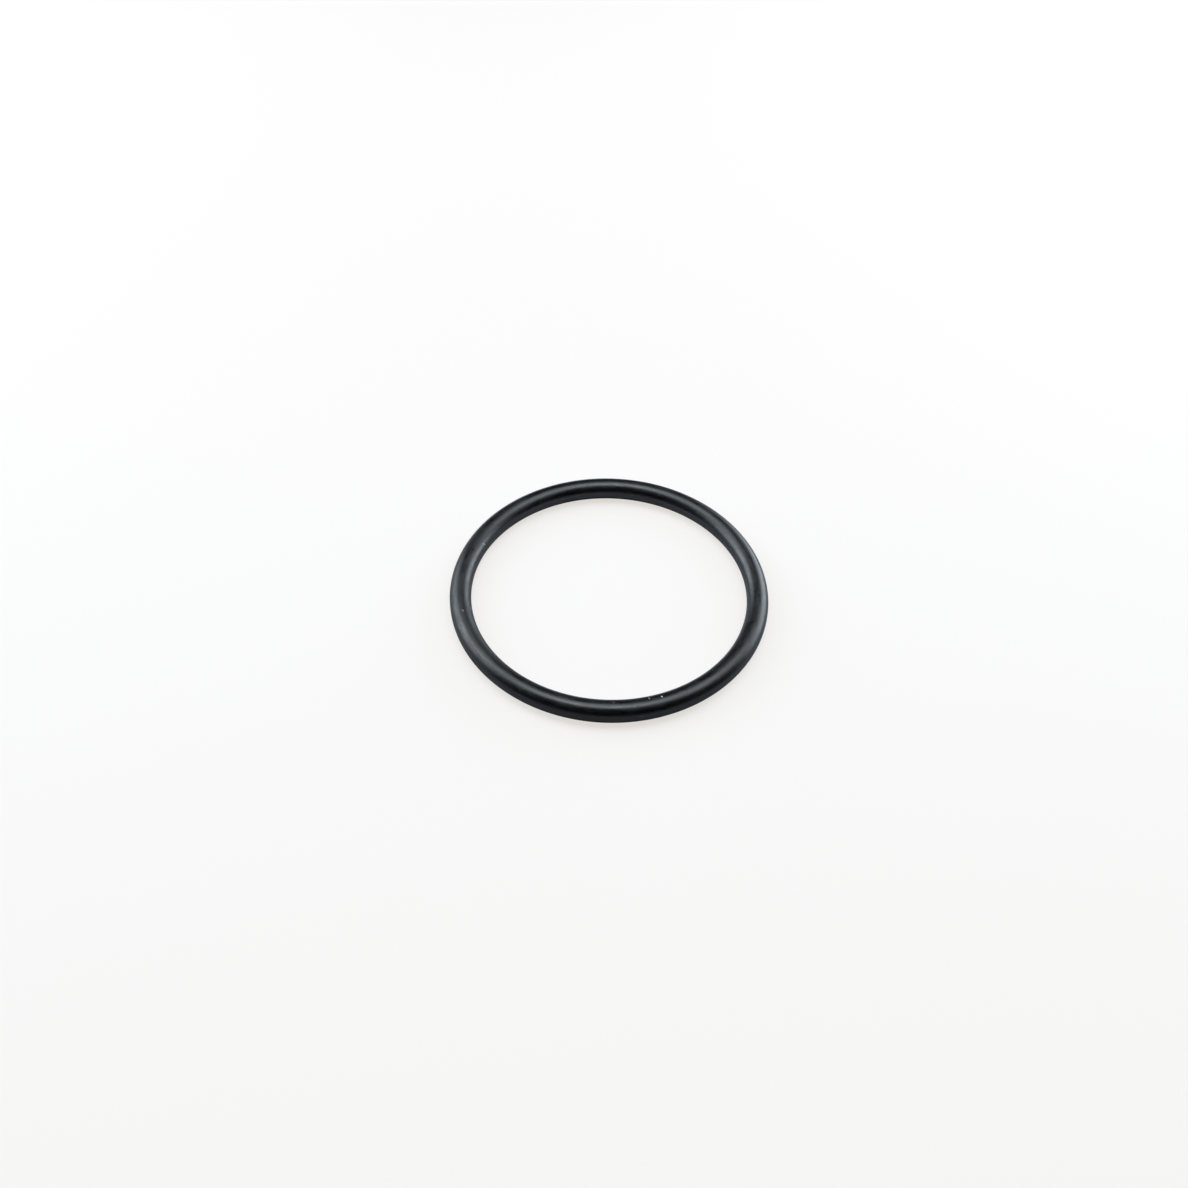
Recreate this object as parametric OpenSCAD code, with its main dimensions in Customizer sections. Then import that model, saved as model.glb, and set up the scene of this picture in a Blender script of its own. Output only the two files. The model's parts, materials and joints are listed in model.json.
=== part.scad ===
// Moulded rubber o-ring for sealing a spigot, a piston or a screwed cover.
// It lies flat: the ring's axis is Z and its underside rests on Z = 0.
// All lengths are in millimetres.

/* [Ring] */
// Inside diameter, across the inner parting line
inside_d = 32; // [12:0.5:120]
// Thickness of the round section, which is also the height of the ring
section_d = 2.5; // [1.6:0.1:6]

/* [Parting line] */
// Height of the narrow flat that is left where the inner moulding flash was trimmed
inner_land_h = 0.3; // [0.1:0.05:0.6]
// Height of the narrow flat that is left where the outer moulding flash was trimmed
outer_land_h = 0.3; // [0.1:0.05:0.6]

/* [Hidden] */

// Smoothness of the preview around the ring and around its section
ring_fn = 240;
section_fn = 96;

section_r = section_d / 2;
// A trimmed flat cuts the round section this far from its centre
inner_land_x = chord_distance(section_r, inner_land_h);
outer_land_x = chord_distance(section_r, outer_land_h);
// Radius of the circle that the centre of the section follows
ring_r = inside_d / 2 + inner_land_x;

// Distance from a circle's centre to a chord of the given length
function chord_distance(radius, chord) = sqrt(pow(radius, 2) - pow(chord / 2, 2));

// Half-space to one side of the section, from which a flat is cut.
// side is -1 towards the ring's axis and 1 away from it.
module trimmed_flash(side, land_x) {
    translate([side * (land_x + section_d / 2), 0])
        square([section_d, 2 * section_d], center = true);
}

// The section as moulded: round, with the two narrow lands of the parting line
module section() {
    difference() {
        circle(d = section_d, $fn = section_fn);
        trimmed_flash(-1, inner_land_x);
        trimmed_flash(1, outer_land_x);
    }
}

module o_ring() {
    color([0.03, 0.03, 0.035])
        rotate_extrude($fn = ring_fn)
            translate([ring_r, section_r])
                section();
}

o_ring();
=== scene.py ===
"""Black rubber o-ring lying flat on a pale table, under softboxes and an overhead light. Metres."""
import json
import math

import bmesh
import bpy
from mathutils import Matrix, Vector


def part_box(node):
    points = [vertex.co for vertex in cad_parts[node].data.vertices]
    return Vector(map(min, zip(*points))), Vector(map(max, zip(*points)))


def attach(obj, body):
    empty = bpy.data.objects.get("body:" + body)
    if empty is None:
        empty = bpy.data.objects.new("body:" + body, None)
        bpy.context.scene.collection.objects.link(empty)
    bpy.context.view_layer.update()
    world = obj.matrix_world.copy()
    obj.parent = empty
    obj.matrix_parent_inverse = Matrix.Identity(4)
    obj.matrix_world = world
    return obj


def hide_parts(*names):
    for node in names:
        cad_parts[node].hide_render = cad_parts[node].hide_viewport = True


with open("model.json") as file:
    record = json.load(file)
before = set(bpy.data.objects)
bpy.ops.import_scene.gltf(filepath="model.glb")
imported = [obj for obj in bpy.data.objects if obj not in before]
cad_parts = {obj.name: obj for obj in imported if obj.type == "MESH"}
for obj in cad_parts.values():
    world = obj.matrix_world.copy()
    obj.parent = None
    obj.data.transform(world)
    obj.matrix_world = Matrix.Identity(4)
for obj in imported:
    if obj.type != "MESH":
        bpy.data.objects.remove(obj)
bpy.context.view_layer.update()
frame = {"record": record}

MM = 0.001
FULL_TURN = 2 * math.pi

# The ring's own sizes, as its CAD model gives them
mount_sizes = {mount["name"]: mount["dims"] for mount in frame["record"]["mounts"]}
inner_r = mount_sizes["inner_land"]["r_mm"] * MM
outer_r = mount_sizes["outer_land"]["r_mm"] * MM
ring_bottom, ring_top = (corner[2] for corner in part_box("o_ring"))
section_r = (ring_top - ring_bottom) / 2
ring_r = (inner_r + outer_r) / 2
section_centre = Vector((ring_r, 0, ring_bottom + section_r))
ring_centre = Vector((0, 0, section_centre.z))

# Fineness of the ring's mesh, around its section and around the ring
SECTION_STEPS = 80
RING_STEPS = 480

# Points of the mesh that are nearer than this are one point
CUT_TOLERANCE = 0.0005 * MM

# The flash line that is left proud in the middle of each trimmed land
FLASH_HEIGHT = 0.005 * MM
FLASH_TOP = 0.03 * MM
FLASH_FOOT = 0.08 * MM

# The lands lie within this height of the parting plane
LAND_ZONE = section_r / 4

# The moulded skin is uneven by this much, at this pitch
SKIN_DEPTH = 0.004 * MM
SKIN_PITCH = 0.9 * MM

# Edges that turn more than this stay sharp, which are those of the lands and the flash line
SHARP_ANGLE = math.radians(12)

# The mould's grain, fine and broad, and how high the fine grain and the flow stand beside the broad
FINE_GRAIN_PITCH = 0.10 * MM
BROAD_GRAIN_PITCH = 0.45 * MM
FINE_GRAIN_SHARE = 0.24
FLOW_SHARE = 0.45

# Length and width of the streaks that run round the ring
FLOW_STREAKS = (0.55 * MM, 0.16 * MM)
SHEEN_STREAKS = (1.8 * MM, 0.45 * MM)
DUST_STREAKS = (1.3 * MM, 0.20 * MM)

# The two finishes of the rubber: how rough the gloss is, and how deep the grain
MOULDED_ROUGHNESS = 0.34
MOULDED_GRAIN = 0.0075 * MM
TRIMMED_ROUGHNESS = 0.48
TRIMMED_GRAIN = 0.005 * MM
RUBBER_SPECULAR = 0.74

# What grain, sheen streaks and dull patches add to the roughness, and the roughness of lint. Grain and
# streaks are noise, and have their whole effect from the low value to the high one
GRAIN_ROUGHENS = 0.04
GRAIN_LOW = 0.35
GRAIN_HIGH = 0.65
SHEEN_ROUGHENS = 0.055
SHEEN_LOW = 0.3
SHEEN_HIGH = 0.7
DULLING_ROUGHENS = 0.25
LINT_ROUGHNESS = 0.8

# How much of the rubber's colour rubbed-in dust and a speck of it cover, and the values of the dust's
# streaks where it starts to show and where it is whole
DUST_COVERS = 0.5
SPECK_COVERS = 0.35
DUST_STARTS = 0.38
DUST_IS_WHOLE = 0.66

# Specks of dust: how far apart they may lie, the share of those places that is bare, and how large the
# largest is beside the distance
SPECK_PITCH = 0.5 * MM
SPECKS_BARE = 0.45
SPECK_LARGEST = 0.10

# Lint is crooked by this much, at this pitch. Softness is how far in from its edge a mark fades
KINK_DEPTH = 0.04 * MM
KINK_PITCH = 0.2 * MM
LINT_SOFTNESS = 0.6
PATCH_SOFTNESS = 0.9

# Lint that clings to the ring: degrees round it, degrees across its section, length and width in
# millimetres, how far it is turned from the way round the ring, and how strongly it shows. 0 round is
# the photograph's right and 90 its far side, and 0 across faces outwards and 90 up
LINT = {
    "pale lint, far left": (157.0, 139, 0.70, 0.22, 116, 0.45),
    "lint on the dark band, left": (195.1, 92.8, 0.46, 0.075, 28, 0.8),
    "faint lint, inner left": (193.4, 146.8, 0.34, 0.12, 31, 0.5),
    "bright lint, near side": (290.0, 99.6, 0.39, 0.165, -79, 1.0),
    "lint beside it, near side": (285.3, 108.9, 0.34, 0.15, -78, 0.7),
    "faint lint, near side": (272.1, 104.3, 0.24, 0.10, -66, 0.45),
    "very faint lint, near side": (268.6, 98.4, 0.20, 0.08, -48, 0.25),
    "faint lint, near right": (313.5, 117.7, 0.30, 0.07, -108, 0.35),
    "hair scratch, near side": (279.5, 67.3, 0.55, 0.06, -70, 0.3),
    "faint streak, lower edge": (281.4, 14.4, 0.75, 0.09, -8, 0.18),
}

# Patches where the skin is dusty or rubbed: degrees round, degrees across, length and width in
# millimetres, how much dust there is, and how much duller the gloss is
SKIN_PATCHES = {
    "dusty patch, left": (203.8, 61, 4.8, 1.4, 1.0, 0.5),
    "dusty streak, near left": (217.2, 68.4, 7.5, 1.0, 0.6, 0.3),
    "dull side, left": (200, 93, 30, 7, 0.01, 0.45),
    "smudge, near side": (270.9, 79, 8.0, 0.7, 0.3, 0.2),
    "light patch, far side": (102.1, 107, 1.5, 0.5, 0.12, 0.0),
    "light patch, far right": (87.8, 107, 2.4, 0.5, 0.12, 0.0),
}

# Colours, as linear red, green and blue
RUBBER_BLACK = (0.0021, 0.0022, 0.0032, 1)
DUST_PALE = (0.21, 0.18, 0.14, 1)
LINT_PALE = (0.63, 0.61, 0.57, 1)
TABLE_WHITE = (0.856, 0.87, 0.92, 1)
TABLE_GLOW = (1.005, 0.968, 0.919, 1)
TABLE_GLOW_FAR = (1.01, 0.95, 0.907, 1)
UNLIT = (0, 0, 0, 1)
ROOM_DIM = (0.003, 0.003, 0.004, 1)
BACKGROUND_PALE = (0.95, 0.95, 0.95, 1)
SOFTBOX_TINT = (0.90, 1.0, 1.08)
OVERHEAD_TINT = (0.925, 1.0, 1.05)

# The lights that face the ring: degrees round it, from 0 beyond it to 90 at its right, degrees up, how
# far away, width, height, how far in from its edges it fades, how bright its middle looks where white
# is 1, and its tint
LIGHTS = {
    "left softbox": (-66.5, 25.9, 0.312, 0.384, 0.312, 0.69, 4.01, SOFTBOX_TINT),
    "right softbox": (53.5, 9.7, 0.220, 0.345, 0.329, 0.79, 4.05, SOFTBOX_TINT),
    "overhead": (3.5, 79.1, 0.439, 1.035, 0.397, 0.49, 2.35, OVERHEAD_TINT),
    "overhead middle": (-26.6, 86.0, 0.420, 0.153, 0.107, 0.90, 10.78, OVERHEAD_TINT),
}

TABLE_SIDE = 3.0

# The share of the table's brightness that is its own, which keeps its shadows soft. Between these two
# distances from the ring's middle it rises to the whole, so that the table ends in the pale background
GLOW_TO_CAMERA = 0.70
GLOW_STARTS_TO_RISE = 0.14
GLOW_IS_WHOLE = 0.50

# Beyond the ring the glow turns a little warmer, between these two places
GLOW_TURNS = 0
GLOW_HAS_TURNED = 80 * MM

# Painted shade in the table's reflection: the ring's gloss sees the table darker than it is, at these
# shares of its colour, and darkening towards the camera between these two places
GLOSS_FAR = 1.9 * MM
GLOSS_NEAR = -26.9 * MM
GLOSS_FAR_SHARE = 0.60
GLOSS_NEAR_SHARE = 0.38

# The camera, found from the outline of the ring in the photograph
CAMERA_ELEVATION = math.radians(48.52)
CAMERA_ROLL = math.radians(1.40)
CAMERA_DISTANCE = 155.1 * MM
CAMERA_ASIDE = -1.76 * MM
CAMERA_ABOVE = -0.27 * MM
CAMERA_LENS = 40.39
CAMERA_SENSOR = 36
CAMERA_SEES_FROM = 0.01
CAMERA_SEES_TO = 10


def deselect_all():
    """Leaves nothing selected, so that an operator acts only on what is picked next."""
    for thing in bpy.context.selected_objects:
        thing.select_set(False)


def make_active(piece):
    """Selects one piece alone."""
    deselect_all()
    piece.select_set(True)
    bpy.context.view_layer.objects.active = piece


def start_piece(name, add_primitive, **sizes):
    """Adds a primitive at its size and place, and returns it as the named piece."""
    deselect_all()
    add_primitive(**sizes)
    piece = bpy.context.active_object
    piece.name = name
    piece.data.name = name
    bpy.ops.object.transform_apply(location=True, rotation=True, scale=True)
    return piece


def select_vertices(piece, wanted):
    """In edit mode, selects the vertices whose place passes the test, and no others."""
    bpy.ops.mesh.select_all(action="DESELECT")
    shape = bmesh.from_edit_mesh(piece.data)
    for vertex in shape.verts:
        vertex.select_set(wanted(vertex.co))
    shape.select_flush_mode()
    bmesh.update_edit_mesh(piece.data)


def select_faces(piece, wanted):
    """In edit mode, selects the faces whose middle passes the test, and no others."""
    bpy.ops.mesh.select_all(action="DESELECT")
    shape = bmesh.from_edit_mesh(piece.data)
    for face in shape.faces:
        face.select_set(wanted(face.calc_center_median()))
    bmesh.update_edit_mesh(piece.data)


def height_in_section(place):
    """How far a point lies above or below the parting plane."""
    return abs(place.z - section_centre.z)


def is_on_land(place):
    """Whether a point of the ring lies on a trimmed land, which cuts into the round section."""
    radius = math.hypot(place.x, place.y)
    reach = math.hypot(radius - ring_r, place.z - section_centre.z)
    return reach < section_r - FLASH_HEIGHT / 2 and height_in_section(place) < LAND_ZONE


def make_ring():
    """The moulded ring: its round section, trimmed at the parting line, spun round the axis."""
    ring = start_piece(
        "moulded_ring", bpy.ops.mesh.primitive_circle_add, vertices=SECTION_STEPS, radius=section_r,
        fill_type="NGON", location=section_centre, rotation=(math.radians(90), 0, 0))

    bpy.ops.object.mode_set(mode="EDIT")
    for wall_r, outward in ((inner_r, -1), (outer_r, 1)):
        bpy.ops.mesh.select_all(action="SELECT")
        bpy.ops.mesh.bisect(
            plane_co=(wall_r - outward * FLASH_HEIGHT, 0, 0), plane_no=(outward, 0, 0),
            threshold=CUT_TOLERANCE, clear_outer=True)
    bpy.ops.mesh.select_all(action="SELECT")
    bpy.ops.mesh.delete(type="ONLY_FACE")
    for height in (-FLASH_FOOT / 2, -FLASH_TOP / 2, FLASH_TOP / 2, FLASH_FOOT / 2):
        bpy.ops.mesh.select_all(action="SELECT")
        bpy.ops.mesh.bisect(plane_co=section_centre + Vector((0, 0, height)), plane_no=(0, 0, 1),
                            threshold=CUT_TOLERANCE)
    for outward in (-1, 1):
        select_vertices(ring, lambda place: (place.x - ring_r) * outward > 0
                        and height_in_section(place) < (FLASH_TOP + FLASH_FOOT) / 4)
        bpy.ops.transform.translate(value=(outward * FLASH_HEIGHT, 0, 0))

    bpy.ops.mesh.select_all(action="SELECT")
    bpy.ops.mesh.spin(steps=RING_STEPS, angle=FULL_TURN, center=(0, 0, 0), axis=(0, 0, 1))
    bpy.ops.mesh.select_all(action="SELECT")
    bpy.ops.mesh.remove_doubles(threshold=CUT_TOLERANCE)
    bpy.ops.mesh.normals_make_consistent(inside=False)
    bpy.ops.object.mode_set(mode="OBJECT")
    return ring


def roughen_skin(ring):
    """Sinks the moulded skin by a few thousandths of a millimetre, unevenly."""
    waves = bpy.data.textures.new("uneven skin", "CLOUDS")
    waves.noise_scale = SKIN_PITCH
    waves.noise_depth = 1
    unevenness = ring.modifiers.new("uneven skin", "DISPLACE")
    unevenness.texture = waves
    unevenness.texture_coords = "LOCAL"
    unevenness.strength = SKIN_DEPTH
    unevenness.mid_level = 1
    make_active(ring)
    bpy.ops.object.modifier_apply(modifier=unevenness.name)
    bpy.ops.object.shade_smooth_by_angle(angle=SHARP_ANGLE)


def add_node(tree, kind, inputs=None, **settings):
    """Adds a node with its settings. inputs gives each socket its value or what is linked to it."""
    made = tree.nodes.new(kind)
    for name, setting in settings.items():
        setattr(made, name, setting)
    for socket, value in (inputs or {}).items():
        if isinstance(value, bpy.types.NodeSocket):
            tree.links.new(value, made.inputs[socket])
        else:
            made.inputs[socket].default_value = value
    return made


def maths(tree, operation, first, second=0.0, third=0.0):
    """The result of one sum on two or three values."""
    made = add_node(tree, "ShaderNodeMath", {0: first, 1: second, 2: third}, operation=operation)
    return made.outputs[0]


def start_group(name, inputs, outputs):
    """A shader node group with named sockets, and the node inside that gives its inputs."""
    group = bpy.data.node_groups.new(name, "ShaderNodeTree")
    for socket_name, socket_type in inputs:
        group.interface.new_socket(socket_name, in_out="INPUT", socket_type=socket_type)
    for socket_name, socket_type in outputs:
        group.interface.new_socket(socket_name, in_out="OUTPUT", socket_type=socket_type)
    return group, group.nodes.new("NodeGroupInput").outputs


def noise(tree, position, pitch, detail=2.0):
    """Cloudy noise whose lumps are about one pitch across: its values and its colours."""
    return add_node(tree, "ShaderNodeTexNoise", {
        "Vector": position, "Scale": 1 / pitch, "Detail": detail}).outputs


def rise(tree, value, start, end, low=0.0, high=1.0):
    """Maps a value smoothly from low at start to high at end."""
    made = add_node(tree, "ShaderNodeMapRange", {
        "Value": value, "From Min": start, "From Max": end, "To Min": low, "To Max": high},
        interpolation_type="SMOOTHSTEP")
    return made.outputs["Result"]


def vector_maths(tree, operation, first, second=(0, 0, 0)):
    """The node that works on two vectors."""
    return add_node(tree, "ShaderNodeVectorMath", {0: first, 1: second}, operation=operation)


def end_group(group, results):
    """Links what the group puts out."""
    add_node(group, "NodeGroupOutput", results)
    return group


def use_group(tree, group, inputs):
    """Places a group in a tree, and gives its outputs."""
    return add_node(tree, "ShaderNodeGroup", inputs, node_tree=group).outputs


def mix_colours(tree, factor, first, second):
    """The first colour, turning into the second as the factor rises."""
    made = add_node(tree, "ShaderNodeMix", {"Factor": factor}, data_type="RGBA")
    for socket, colour in ((made.inputs[6], first), (made.inputs[7], second)):
        if isinstance(colour, bpy.types.NodeSocket):
            tree.links.new(colour, socket)
        else:
            socket.default_value = colour
    return made.outputs[2]


def make_streak_group():
    """Streaks that run round the ring: noise that is long round it and short across its section."""
    group, given = start_group(
        "streaks round the ring",
        [("Position", "NodeSocketVector"), ("Length", "NodeSocketFloat"), ("Width", "NodeSocketFloat")],
        [("Streaks", "NodeSocketFloat")])
    place = add_node(group, "ShaderNodeSeparateXYZ", {0: given["Position"]}).outputs
    flat = add_node(group, "ShaderNodeCombineXYZ", {0: place[0], 1: place[1]}).outputs[0]
    radius = vector_maths(group, "LENGTH", flat).outputs["Value"]
    along = add_node(group, "ShaderNodeCombineXYZ", {
        0: maths(group, "DIVIDE", place[0], given["Length"]),
        1: maths(group, "DIVIDE", place[1], given["Length"]),
        2: maths(group, "DIVIDE", place[2], given["Width"])}).outputs[0]
    across = maths(group, "DIVIDE", radius, given["Width"])
    streaks = add_node(group, "ShaderNodeTexNoise", {
        "Vector": along, "W": across, "Scale": 1.0, "Detail": 2.0, "Roughness": 0.55},
        noise_dimensions="4D")
    return end_group(group, {"Streaks": streaks.outputs["Fac"]})


def streaks_at(tree, streaks, position, length_and_width):
    """Streaks round the ring of a given length and width."""
    length, width = length_and_width
    return use_group(tree, streaks, {"Position": position, "Length": length, "Width": width})["Streaks"]


def make_grain_group(streaks):
    """Mould grain: what the mould's wall and the flow of the rubber leave on the skin."""
    group, given = start_group(
        "mould grain",
        [("Position", "NodeSocketVector"), ("Depth", "NodeSocketFloat")],
        [("Normal", "NodeSocketVector"), ("Grain", "NodeSocketFloat"),
         ("Sheen Streaks", "NodeSocketFloat")])
    position = given["Position"]
    fine = noise(group, position, FINE_GRAIN_PITCH, detail=3)["Fac"]
    broad = noise(group, position, BROAD_GRAIN_PITCH, detail=1)["Fac"]
    flow = streaks_at(group, streaks, position, FLOW_STREAKS)
    height = maths(group, "ADD", maths(group, "MULTIPLY", fine, FINE_GRAIN_SHARE), broad)
    height = maths(group, "ADD", maths(group, "MULTIPLY", flow, FLOW_SHARE), height)
    bump = add_node(group, "ShaderNodeBump", {
        "Height": height, "Distance": given["Depth"], "Strength": 1.0})
    grain = maths(group, "ADD", maths(group, "MULTIPLY", fine, 0.5), maths(group, "MULTIPLY", flow, 0.5))
    sheen = streaks_at(group, streaks, position, SHEEN_STREAKS)
    return end_group(
        group, {"Normal": bump.outputs["Normal"], "Grain": grain, "Sheen Streaks": sheen})


def make_spot_group():
    """One soft-edged long spot at a place: a piece of lint, or a patch of dust."""
    group, given = start_group(
        "long spot",
        [("Position", "NodeSocketVector"), ("Centre", "NodeSocketVector"), ("Along", "NodeSocketVector"),
         ("Length", "NodeSocketFloat"), ("Width", "NodeSocketFloat"), ("Softness", "NodeSocketFloat")],
        [("Cover", "NodeSocketFloat")])
    offset = vector_maths(group, "SUBTRACT", given["Position"], given["Centre"]).outputs["Vector"]
    lengthwise = vector_maths(group, "DOT_PRODUCT", offset, given["Along"]).outputs["Value"]
    distance = vector_maths(group, "LENGTH", offset).outputs["Value"]
    lengthwise_squared = maths(group, "POWER", maths(group, "ABSOLUTE", lengthwise), 2.0)
    sideways_squared = maths(group, "SUBTRACT", maths(group, "POWER", distance, 2.0), lengthwise_squared)
    half_length = maths(group, "MULTIPLY", given["Length"], 0.5)
    half_width = maths(group, "MULTIPLY", given["Width"], 0.5)
    reach = maths(
        group, "ADD",
        maths(group, "DIVIDE", lengthwise_squared, maths(group, "POWER", half_length, 2.0)),
        maths(group, "DIVIDE", sideways_squared, maths(group, "POWER", half_width, 2.0)))
    start = maths(group, "SUBTRACT", 1.0, given["Softness"])
    cover = maths(group, "SUBTRACT", 1.0, rise(group, maths(group, "SQRT", reach), start, 1.0))
    return end_group(group, {"Cover": cover})


def place_on_ring(round_angle, across_angle, turn):
    """A place on the ring's skin, and the way a mark there runs when it is turned from the way round."""
    round_angle, across_angle, turn = (math.radians(angle) for angle in (round_angle, across_angle, turn))
    outward = Vector((math.cos(round_angle), math.sin(round_angle), 0))
    way_round = Vector((-math.sin(round_angle), math.cos(round_angle), 0))
    up = Vector((0, 0, 1))
    facing = math.cos(across_angle) * outward + math.sin(across_angle) * up
    way_across = math.cos(across_angle) * up - math.sin(across_angle) * outward
    place = ring_centre + ring_r * outward + section_r * facing
    return place, math.cos(turn) * way_round + math.sin(turn) * way_across


def make_lint_group(spot):
    """All the lint that clings to the ring, each piece a little crooked."""
    group, given = start_group(
        "clinging lint", [("Position", "NodeSocketVector")], [("Cover", "NodeSocketFloat")])
    crookedness = noise(group, given["Position"], KINK_PITCH)["Color"]
    kink = vector_maths(group, "MULTIPLY_ADD", crookedness, (2 * KINK_DEPTH,) * 3)
    kink.inputs[2].default_value = (-KINK_DEPTH,) * 3
    bent = vector_maths(group, "ADD", given["Position"], kink.outputs["Vector"]).outputs["Vector"]
    cover = 0.0
    for round_angle, across_angle, length, width, turn, strength in LINT.values():
        place, along = place_on_ring(round_angle, across_angle, turn)
        piece = use_group(group, spot, {
            "Position": bent, "Centre": place, "Along": along, "Length": length * MM,
            "Width": width * MM, "Softness": LINT_SOFTNESS})["Cover"]
        cover = maths(group, "MAXIMUM", maths(group, "MULTIPLY", piece, strength), cover)
    return end_group(group, {"Cover": cover})


def make_dust_group(spot, streaks):
    """Dust: streaky patches where it was rubbed in, with duller skin, and fine specks on top."""
    group, given = start_group(
        "dust", [("Position", "NodeSocketVector")],
        [("Film", "NodeSocketFloat"), ("Dulling", "NodeSocketFloat"), ("Specks", "NodeSocketFloat")])
    position = given["Position"]
    film = 0.0
    dulling = 0.0
    for round_angle, across_angle, length, width, dust, dullness in SKIN_PATCHES.values():
        place, along = place_on_ring(round_angle, across_angle, 0)
        patch = use_group(group, spot, {
            "Position": position, "Centre": place, "Along": along, "Length": length * MM,
            "Width": width * MM, "Softness": PATCH_SOFTNESS})["Cover"]
        film = maths(group, "MAXIMUM", maths(group, "MULTIPLY", patch, dust), film)
        dulling = maths(group, "MAXIMUM", maths(group, "MULTIPLY", patch, dullness), dulling)
    rubbed = streaks_at(group, streaks, position, DUST_STREAKS)
    film = maths(group, "MULTIPLY", film, rise(group, rubbed, DUST_STARTS, DUST_IS_WHOLE))
    cells = add_node(
        group, "ShaderNodeTexVoronoi", {"Vector": position, "Scale": 1 / SPECK_PITCH}).outputs
    chance = add_node(group, "ShaderNodeSeparateColor", {0: cells["Color"]}).outputs[0]
    speck_size = rise(group, chance, SPECKS_BARE, 1.0, 0.0, SPECK_LARGEST)
    specks = maths(group, "LESS_THAN", cells["Distance"], speck_size)
    height = add_node(group, "ShaderNodeSeparateXYZ", {0: position}).outputs[2]
    on_top = rise(group, height, ring_centre.z, ring_top)
    return end_group(group, {
        "Film": film, "Dulling": dulling, "Specks": maths(group, "MULTIPLY", specks, on_top)})


def make_rubber(name, roughness, grain_depth, groups):
    """A finish of the black rubber, on the moulded skin or on the trimmed lands."""
    material = bpy.data.materials.new(name)
    material.use_nodes = True
    tree = material.node_tree
    shader = tree.nodes["Principled BSDF"]
    position = add_node(tree, "ShaderNodeTexCoord").outputs["Object"]
    skin = use_group(tree, groups["grain"], {"Position": position, "Depth": grain_depth})
    dust = use_group(tree, groups["dust"], {"Position": position})
    lint = use_group(tree, groups["lint"], {"Position": position})["Cover"]
    film = maths(tree, "MULTIPLY", dust["Film"], DUST_COVERS)
    specks = maths(tree, "MULTIPLY", dust["Specks"], SPECK_COVERS)
    colour = mix_colours(tree, film, RUBBER_BLACK, DUST_PALE)
    colour = mix_colours(tree, specks, colour, DUST_PALE)
    colour = mix_colours(tree, lint, colour, LINT_PALE)
    rough = rise(
        tree, skin["Grain"], GRAIN_LOW, GRAIN_HIGH, roughness - GRAIN_ROUGHENS, roughness + GRAIN_ROUGHENS)
    sheen = rise(
        tree, skin["Sheen Streaks"], SHEEN_LOW, SHEEN_HIGH, -SHEEN_ROUGHENS, SHEEN_ROUGHENS)
    rough = maths(tree, "ADD", rough, sheen)
    rough = maths(tree, "ADD", rough, maths(tree, "MULTIPLY", dust["Dulling"], DULLING_ROUGHENS))
    rough = maths(tree, "MAXIMUM", rough, maths(tree, "MULTIPLY", lint, LINT_ROUGHNESS))
    shader.inputs["Specular IOR Level"].default_value = RUBBER_SPECULAR
    tree.links.new(colour, shader.inputs["Base Color"])
    tree.links.new(rough, shader.inputs["Roughness"])
    tree.links.new(skin["Normal"], shader.inputs["Normal"])
    return material


def finish_ring(ring):
    """Gives the moulded skin and the trimmed lands their finishes."""
    spot = make_spot_group()
    streaks = make_streak_group()
    groups = {"grain": make_grain_group(streaks), "dust": make_dust_group(spot, streaks),
              "lint": make_lint_group(spot)}
    finishes = (("moulded rubber", MOULDED_ROUGHNESS, MOULDED_GRAIN),
                ("trimmed rubber", TRIMMED_ROUGHNESS, TRIMMED_GRAIN))
    for name, roughness, grain_depth in finishes:
        ring.data.materials.append(make_rubber(name, roughness, grain_depth, groups))
    make_active(ring)
    bpy.ops.object.mode_set(mode="EDIT")
    select_faces(ring, is_on_land)
    ring.active_material_index = ring.data.materials.find("trimmed rubber")
    bpy.ops.object.material_slot_assign()
    bpy.ops.object.mode_set(mode="OBJECT")


def make_table():
    """The plain pale table. The camera sees soft shadows on it; the ring's gloss sees it with painted
    shade, darker than it is and darkening towards the camera.
    """
    table = start_piece(
        "pale_table", bpy.ops.mesh.primitive_plane_add, size=TABLE_SIDE, location=(0, 0, 0))
    material = bpy.data.materials.new("pale table")
    material.use_nodes = True
    tree = material.node_tree
    tree.nodes.clear()
    ray = add_node(tree, "ShaderNodeLightPath").outputs
    position = add_node(tree, "ShaderNodeTexCoord").outputs["Object"]
    distance = vector_maths(tree, "LENGTH", position).outputs["Value"]
    far_off = rise(tree, distance, GLOW_STARTS_TO_RISE, GLOW_IS_WHOLE)
    away = add_node(tree, "ShaderNodeSeparateXYZ", {0: position}).outputs[1]
    turned = rise(tree, away, GLOW_TURNS, GLOW_HAS_TURNED)
    glow_colour = mix_colours(tree, turned, TABLE_GLOW, TABLE_GLOW_FAR)
    glow_colour = mix_colours(tree, far_off, glow_colour, BACKGROUND_PALE)
    share = maths(tree, "ADD", maths(tree, "MULTIPLY", far_off, 1 - GLOW_TO_CAMERA), GLOW_TO_CAMERA)
    share = maths(tree, "MULTIPLY", ray["Is Camera Ray"], share)
    # Painted shade: to the ring's gloss and transmission the table is mixed towards black, more so towards
    # the camera
    gloss_share = rise(tree, away, GLOSS_NEAR, GLOSS_FAR, GLOSS_NEAR_SHARE, GLOSS_FAR_SHARE)
    shaded_gloss_colour = mix_colours(tree, gloss_share, UNLIT, TABLE_WHITE)
    in_gloss = maths(tree, "MAXIMUM", ray["Is Glossy Ray"], ray["Is Transmission Ray"])
    colour = mix_colours(tree, in_gloss, TABLE_WHITE, shaded_gloss_colour)
    paper = add_node(tree, "ShaderNodeBsdfDiffuse", {"Color": colour}).outputs[0]
    glow = add_node(tree, "ShaderNodeEmission", {"Color": glow_colour, "Strength": 1.0}).outputs[0]
    seen = add_node(tree, "ShaderNodeMixShader", {0: share, 1: paper, 2: glow}).outputs[0]
    add_node(tree, "ShaderNodeOutputMaterial", {"Surface": seen})
    table.data.materials.append(material)
    return table


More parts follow.
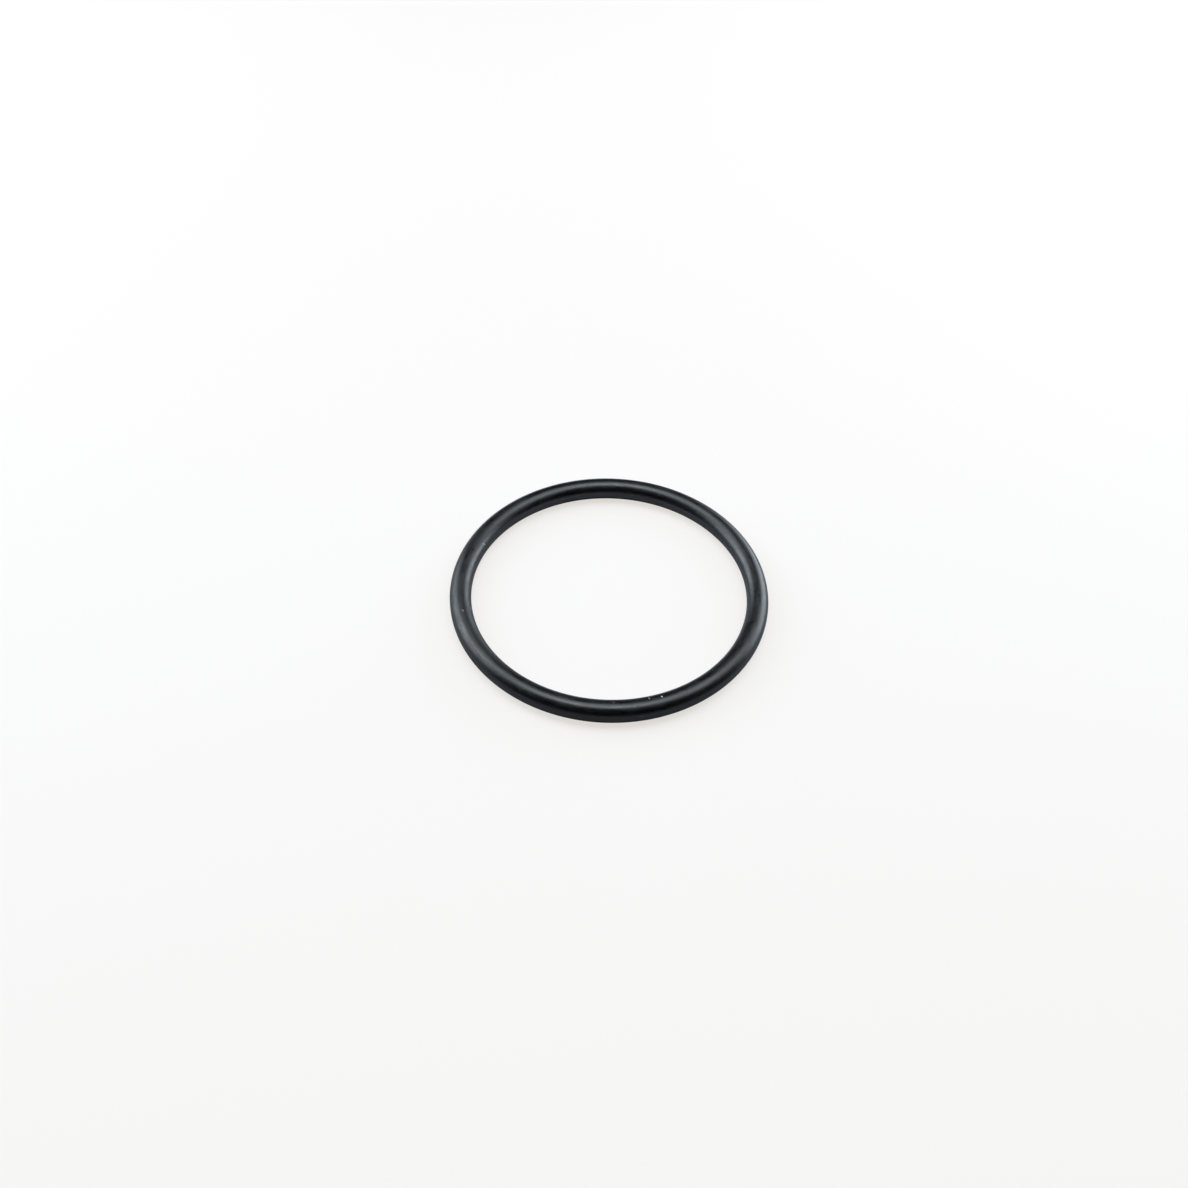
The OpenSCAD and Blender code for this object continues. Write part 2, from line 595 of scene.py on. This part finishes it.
def direction(azimuth, elevation):
    """The way to a place round the ring. Azimuth 0 is away from the camera, and 90 is to its right."""
    level = math.cos(math.radians(elevation))
    return Vector((level * math.sin(math.radians(azimuth)), level * math.cos(math.radians(azimuth)),
                   math.sin(math.radians(elevation))))


def make_face_group():
    """The face of a light, which is brightest in its middle and fades towards its edges."""
    group, given = start_group(
        "light face", [("Softness", "NodeSocketFloat")], [("Brightness", "NodeSocketFloat")])
    place = add_node(group, "ShaderNodeNewGeometry").outputs["Parametric"]
    place = add_node(group, "ShaderNodeSeparateXYZ", {0: place}).outputs
    fade_starts = maths(group, "SUBTRACT", 1.0, given["Softness"])
    fades = []
    for side in (place[0], place[1]):
        off_middle = maths(group, "ABSOLUTE", maths(group, "MULTIPLY_ADD", side, 2.0, -1.0))
        fades.append(rise(group, off_middle, fade_starts, 1.0, 1.0, 0.0))
    return end_group(group, {"Brightness": maths(group, "MULTIPLY", fades[0], fades[1])})


def add_light(name, face, azimuth, elevation, distance, width, height, softness, radiance, tint):
    """A rectangular light that faces the ring."""
    lamp = bpy.data.lights.new(name, "AREA")
    lamp.shape = "RECTANGLE"
    lamp.size = width
    lamp.size_y = height
    lamp.color = tint
    lamp.energy = radiance * math.pi * width * height
    lamp.use_nodes = True
    tree = lamp.node_tree
    tree.nodes.clear()
    brightness = use_group(tree, face, {"Softness": softness})["Brightness"]
    glow = add_node(tree, "ShaderNodeEmission", {"Strength": brightness}).outputs[0]
    add_node(tree, "ShaderNodeOutputLight", {"Surface": glow})
    holder = bpy.data.objects.new(name, lamp)
    towards = direction(azimuth, elevation)
    holder.location = ring_centre + towards * distance
    holder.rotation_euler = towards.to_track_quat("Z", "Y").to_euler()
    holder.visible_camera = False
    bpy.context.scene.collection.objects.link(holder)


def light_room():
    """Two softboxes, an overhead light that is brightest near its middle, and a dim room behind them."""
    face = make_face_group()
    for name, settings in LIGHTS.items():
        add_light(name, face, *settings)
    room = bpy.data.worlds.new("dim room")
    room.use_nodes = True
    tree = room.node_tree
    tree.nodes.clear()
    to_camera = add_node(tree, "ShaderNodeLightPath").outputs["Is Camera Ray"]
    colour = mix_colours(tree, to_camera, ROOM_DIM, BACKGROUND_PALE)
    light = add_node(tree, "ShaderNodeBackground", {"Color": colour, "Strength": 1.0})
    add_node(tree, "ShaderNodeOutputWorld", {"Surface": light.outputs[0]})
    bpy.context.scene.world = room


def place_camera():
    """The photograph's camera: it looks down on the ring and leans a little."""
    towards = Vector((0, -math.cos(CAMERA_ELEVATION), math.sin(CAMERA_ELEVATION)))
    level_right = Vector((1, 0, 0))
    level_up = towards.cross(level_right)
    right = math.cos(CAMERA_ROLL) * level_right + math.sin(CAMERA_ROLL) * level_up
    up = towards.cross(right)
    place = ring_centre + towards * CAMERA_DISTANCE + right * CAMERA_ASIDE + up * CAMERA_ABOVE
    lens = bpy.data.cameras.new("camera")
    lens.lens = CAMERA_LENS
    lens.sensor_width = CAMERA_SENSOR
    lens.clip_start = CAMERA_SEES_FROM
    lens.clip_end = CAMERA_SEES_TO
    camera = bpy.data.objects.new("camera", lens)
    camera.matrix_world = Matrix.Translation(place) @ Matrix((right, up, towards)).transposed().to_4x4()
    bpy.context.scene.collection.objects.link(camera)
    bpy.context.scene.camera = camera


ring = make_ring()
roughen_skin(ring)
finish_ring(ring)
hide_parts("o_ring")
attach(ring, "root")

make_table()
light_room()
place_camera()
bpy.context.scene.view_settings.view_transform = "Standard"
